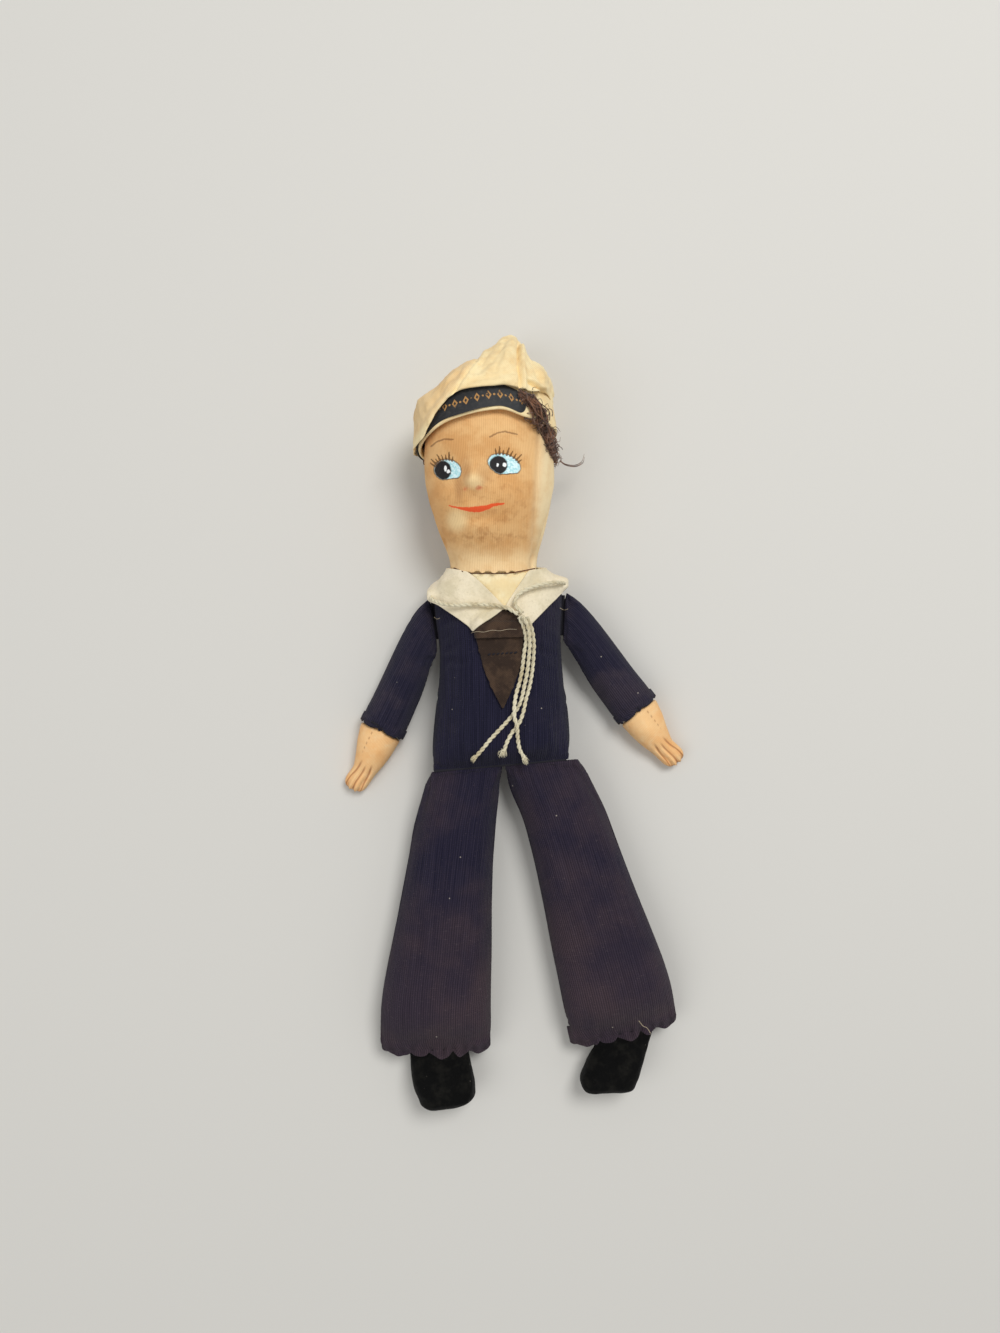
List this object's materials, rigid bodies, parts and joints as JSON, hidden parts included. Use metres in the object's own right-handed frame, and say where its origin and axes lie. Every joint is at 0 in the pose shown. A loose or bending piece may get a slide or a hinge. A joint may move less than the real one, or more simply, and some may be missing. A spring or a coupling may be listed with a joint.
{
  "type": "cloth sailor doll",
  "caption": "Slim stuffed cloth sailor doll lying on its back, with a soft cap and ribbon, wide collar, scarf, neck cord, bell-bottomed trousers and dark shoes.",
  "frame": {"origin": "on the flat of the back, at the middle of the body, where the doll rests", "axes": "+Y towards the top of the head, +Z out of the doll's front, +X towards the doll's left hand"},
  "size_m": [0.1009, 0.2208, 0.0359],
  "materials": {
    "navy_knit": "fine vertical rib, matt",
    "faded_knit": "fine vertical rib, faded to purple brown",
    "cream_knit": "fine stockinet, aged cream",
    "tan_knit": "stiffened stockinet, aged tan",
    "stuffing": "loose cotton waste",
    "collar_felt": "thin felt",
    "scarf_cloth": "faded wool",
    "shoe_velvet": "worn velvet",
    "cap_cotton": "aged cotton",
    "ribbon": "plain woven ribbon, slight sheen",
    "mohair": "curled mohair",
    "white_cord": "twisted cotton"
  },
  "bodies": {
    "torso": {"torso_cover": "navy_knit", "chest_inset": "cream_knit", "torso_stuffing": "stuffing", "collar": "collar_felt", "scarf_tail": "scarf_cloth", "scarf_fold": "scarf_cloth", "lanyard_loop": "white_cord", "lanyard_tail_right": "white_cord", "lanyard_end_right": "white_cord", "lanyard_tail_middle": "white_cord", "lanyard_end_middle": "white_cord", "lanyard_tail_left": "white_cord", "lanyard_end_left": "white_cord"},
    "head": {"face_mask": "tan_knit", "head_back": "cream_knit", "head_stuffing": "stuffing", "cap_band": "cap_cotton", "cap_tally": "ribbon", "cap_crown": "cap_cotton", "wig": "mohair", "side_curls": "mohair", "stray_lock": "mohair"},
    "arm_right": {"sleeve_right": "navy_knit", "hand_right": "tan_knit", "arm_stuffing_right": "stuffing"},
    "arm_left": {"sleeve_left": "navy_knit", "hand_left": "tan_knit", "arm_stuffing_left": "stuffing"},
    "leg_right": {"trouser_leg_right": "faded_knit", "leg_stuffing_right": "stuffing"},
    "leg_left": {"trouser_leg_left": "faded_knit", "leg_stuffing_left": "stuffing"},
    "foot_right": {"shoe_right": "shoe_velvet", "shoe_stuffing_right": "stuffing"},
    "foot_left": {"shoe_left": "shoe_velvet", "shoe_stuffing_left": "stuffing"}
  },
  "joints": [
    {"name": "neck_turn", "type": "hinge", "parent": "torso", "child": "head", "pos_m": [-0.0019, 0.04, 0.0126], "axis": [0, 0.9744, 0.225], "range_deg": [-25, 25]},
    {"name": "shoulder_right", "type": "hinge", "parent": "torso", "child": "arm_right", "pos_m": [-0.01929, 0.0253, 0.0105], "axis": [-0.1255, 0.9921, 0], "range_deg": [-30, 50]},
    {"name": "shoulder_left", "type": "hinge", "parent": "torso", "child": "arm_left", "pos_m": [0.0179, 0.027, 0.0105], "axis": [-0.039, -0.9992, 0], "range_deg": [-30, 50]},
    {"name": "hip_right", "type": "hinge", "parent": "torso", "child": "leg_right", "pos_m": [0, -0.0166, 0.015], "axis": [-0.9962, -0.0872, 0], "range_deg": [-15, 75]},
    {"name": "hip_left", "type": "hinge", "parent": "torso", "child": "leg_left", "pos_m": [0, -0.0166, 0.015], "axis": [-0.9962, -0.0872, 0], "range_deg": [-15, 75]},
    {"name": "ankle_right", "type": "hinge", "parent": "leg_right", "child": "foot_right", "pos_m": [-0.01902, -0.10044, 0.007], "axis": [-0.9997, -0.0244, 0], "range_deg": [-25, 25]},
    {"name": "ankle_left", "type": "hinge", "parent": "leg_left", "child": "foot_left", "pos_m": [0.03585, -0.09553, 0.007], "axis": [-0.9755, -0.2199, 0], "range_deg": [-25, 25]}
  ]
}
